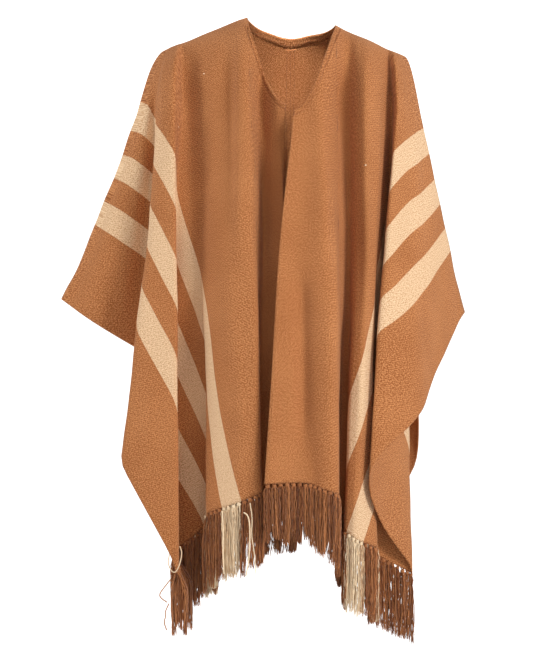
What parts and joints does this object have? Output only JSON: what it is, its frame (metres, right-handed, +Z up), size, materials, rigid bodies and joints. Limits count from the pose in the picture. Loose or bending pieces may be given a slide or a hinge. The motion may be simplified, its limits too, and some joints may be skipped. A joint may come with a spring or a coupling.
{
  "type": "ruana",
  "caption": "Open-fronted woven wool ruana hanging as worn, with deep side folds, cream border stripes, a turned scoop neck and a knotted fringe along the hems.",
  "frame": {"origin": "on the shoulder line at the middle of the neck opening, where the garment is carried", "axes": "+Z up, -Y the way the front faces, +X towards the wearer's left"},
  "size_m": [0.7352, 0.3799, 1.1223],
  "materials": {
    "panel_cloth": "soft brushed wool twill, brown with cream border stripes",
    "trim_cloth": "the same wool twill, turned and stitched",
    "fringe_yarn": "twisted wool yarn, brown with cream groups"
  },
  "bodies": {
    "root": {"right_panel": "panel_cloth", "left_panel": "panel_cloth", "neck_hem": "trim_cloth", "back_seam": "trim_cloth", "fringe_front_right": "fringe_yarn", "fringe_front_left": "fringe_yarn", "fringe_back_right": "fringe_yarn", "fringe_back_left": "fringe_yarn"}
  },
  "joints": []
}
